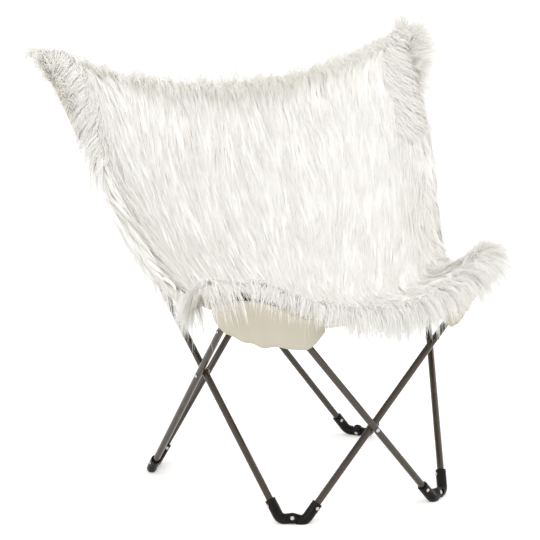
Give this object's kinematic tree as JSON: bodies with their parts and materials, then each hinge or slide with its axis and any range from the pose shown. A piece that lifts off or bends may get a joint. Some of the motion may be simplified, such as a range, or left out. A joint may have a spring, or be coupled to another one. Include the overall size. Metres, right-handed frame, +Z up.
{
  "type": "folding butterfly chair",
  "caption": "Folding butterfly chair: a scissor frame of dark round tubes on elbow feet carries a long-haired fur sling hooked over its four tips.",
  "frame": {"origin": "on the floor under the middle of the chair's box", "axes": "+Z up, the sitter faces -Y, +X to the right as seen from the front"},
  "size_m": [0.9536, 0.7208, 0.9357],
  "materials": {
    "black_tube": "gloss dark bronze black",
    "rivet_metal": "bright",
    "fur": "long off-white pile",
    "lining": "plain beige weave"
  },
  "bodies": {
    "sling": {"front_cross_rivet": "rivet_metal", "horn_left_pocket": "lining", "horn_right_pocket": "lining", "sling_cover": "fur", "wing_left_pocket": "lining", "wing_right_pocket": "lining"},
    "back_left": {"back_left_cross_rivet": "rivet_metal", "back_left_foot_elbow": "black_tube", "back_left_foot_rivet": "rivet_metal", "back_left_top_elbow": "black_tube", "back_left_top_rivet": "rivet_metal", "back_left_tube": "black_tube"},
    "back_right": {"back_right_cross_rivet": "rivet_metal", "back_right_foot_elbow": "black_tube", "back_right_foot_rivet": "rivet_metal", "back_right_top_elbow": "black_tube", "back_right_top_rivet": "rivet_metal", "back_right_tube": "black_tube"},
    "front_left": {"front_left_foot_elbow": "black_tube", "front_left_foot_rivet": "rivet_metal", "front_left_top_elbow": "black_tube", "front_left_top_rivet": "rivet_metal", "front_left_tube": "black_tube"},
    "front_right": {"front_right_foot_elbow": "black_tube", "front_right_foot_rivet": "rivet_metal", "front_right_top_elbow": "black_tube", "front_right_top_rivet": "rivet_metal", "front_right_tube": "black_tube"},
    "low_left": {"back_left_foot_pin": "rivet_metal", "low_left_foot_elbow": "black_tube", "low_left_foot_rivet": "rivet_metal", "low_left_top_elbow": "black_tube", "low_left_top_pin": "rivet_metal", "low_left_top_rivet": "rivet_metal", "low_left_tube": "black_tube"},
    "low_right": {"back_right_foot_pin": "rivet_metal", "low_right_foot_elbow": "black_tube", "low_right_foot_rivet": "rivet_metal", "low_right_top_elbow": "black_tube", "low_right_top_pin": "rivet_metal", "low_right_top_rivet": "rivet_metal", "low_right_tube": "black_tube"},
    "tall_left": {"front_left_foot_pin": "rivet_metal", "left_cross_rivet": "rivet_metal", "tall_left_foot_elbow": "black_tube", "tall_left_foot_rivet": "rivet_metal", "tall_left_top_elbow": "black_tube", "tall_left_top_pin": "rivet_metal", "tall_left_top_rivet": "rivet_metal", "tall_left_tube": "black_tube"},
    "tall_right": {"front_right_foot_pin": "rivet_metal", "right_cross_rivet": "rivet_metal", "tall_right_foot_elbow": "black_tube", "tall_right_foot_rivet": "rivet_metal", "tall_right_top_elbow": "black_tube", "tall_right_top_pin": "rivet_metal", "tall_right_top_rivet": "rivet_metal", "tall_right_tube": "black_tube"}
  },
  "joints": [
    {"name": "frame_fold", "type": "hinge", "parent": "sling", "child": "front_left", "pos_m": [0.00048, -0.27583, 0.18404], "axis": [0, -0.9959, -0.0901], "range_deg": [0, 37.37], "deforming": ["sling_cover", "horn_left_pocket", "horn_right_pocket", "wing_left_pocket", "wing_right_pocket"]},
    {"name": "front_right_fold", "type": "hinge", "parent": "sling", "child": "front_right", "pos_m": [0.00048, -0.27583, 0.18404], "axis": [0, -0.9959, -0.0901], "range_deg": [-37.39, 0]},
    {"name": "tall_left_fold", "type": "hinge", "parent": "front_left", "child": "tall_left", "pos_m": [-0.16943, -0.2374, 0.01071], "axis": [0.4858, 0.8083, -0.3326], "range_deg": [0, 59.28]},
    {"name": "tall_right_fold", "type": "hinge", "parent": "front_right", "child": "tall_right", "pos_m": [0.16917, -0.2529, 0.0101], "axis": [0.5014, -0.7926, 0.3471], "range_deg": [0, 59.8]},
    {"name": "low_left_fold", "type": "hinge", "parent": "tall_left", "child": "low_left", "pos_m": [-0.28009, -0.06153, 0.28908], "axis": [-0.97, -0.1485, -0.1922], "range_deg": [0, 67.13]},
    {"name": "low_right_fold", "type": "hinge", "parent": "tall_right", "child": "low_right", "pos_m": [0.28043, -0.06395, 0.29266], "axis": [0.9709, -0.1509, -0.1858], "range_deg": [-69.02, 0]},
    {"name": "back_left_fold", "type": "hinge", "parent": "low_left", "child": "back_left", "pos_m": [-0.25771, 0.23616, 0.01031], "axis": [-0.6972, 0.5241, 0.4892], "range_deg": [-55.54, 0]},
    {"name": "back_right_fold", "type": "hinge", "parent": "low_right", "child": "back_right", "pos_m": [0.25725, 0.21896, 0.01155], "axis": [-0.6861, -0.5466, -0.4802], "range_deg": [-53.35, 0]}
  ],
  "couplings": [
    {"joint": "front_right_fold", "follows": "frame_fold", "ratio": -1},
    {"joint": "tall_left_fold", "follows": "frame_fold", "ratio": 1.5855},
    {"joint": "tall_right_fold", "follows": "frame_fold", "ratio": 1.5994},
    {"joint": "low_left_fold", "follows": "frame_fold", "ratio": 1.7954},
    {"joint": "low_right_fold", "follows": "frame_fold", "ratio": -1.8459},
    {"joint": "back_left_fold", "follows": "frame_fold", "ratio": -1.4854},
    {"joint": "back_right_fold", "follows": "frame_fold", "ratio": -1.4269}
  ]
}
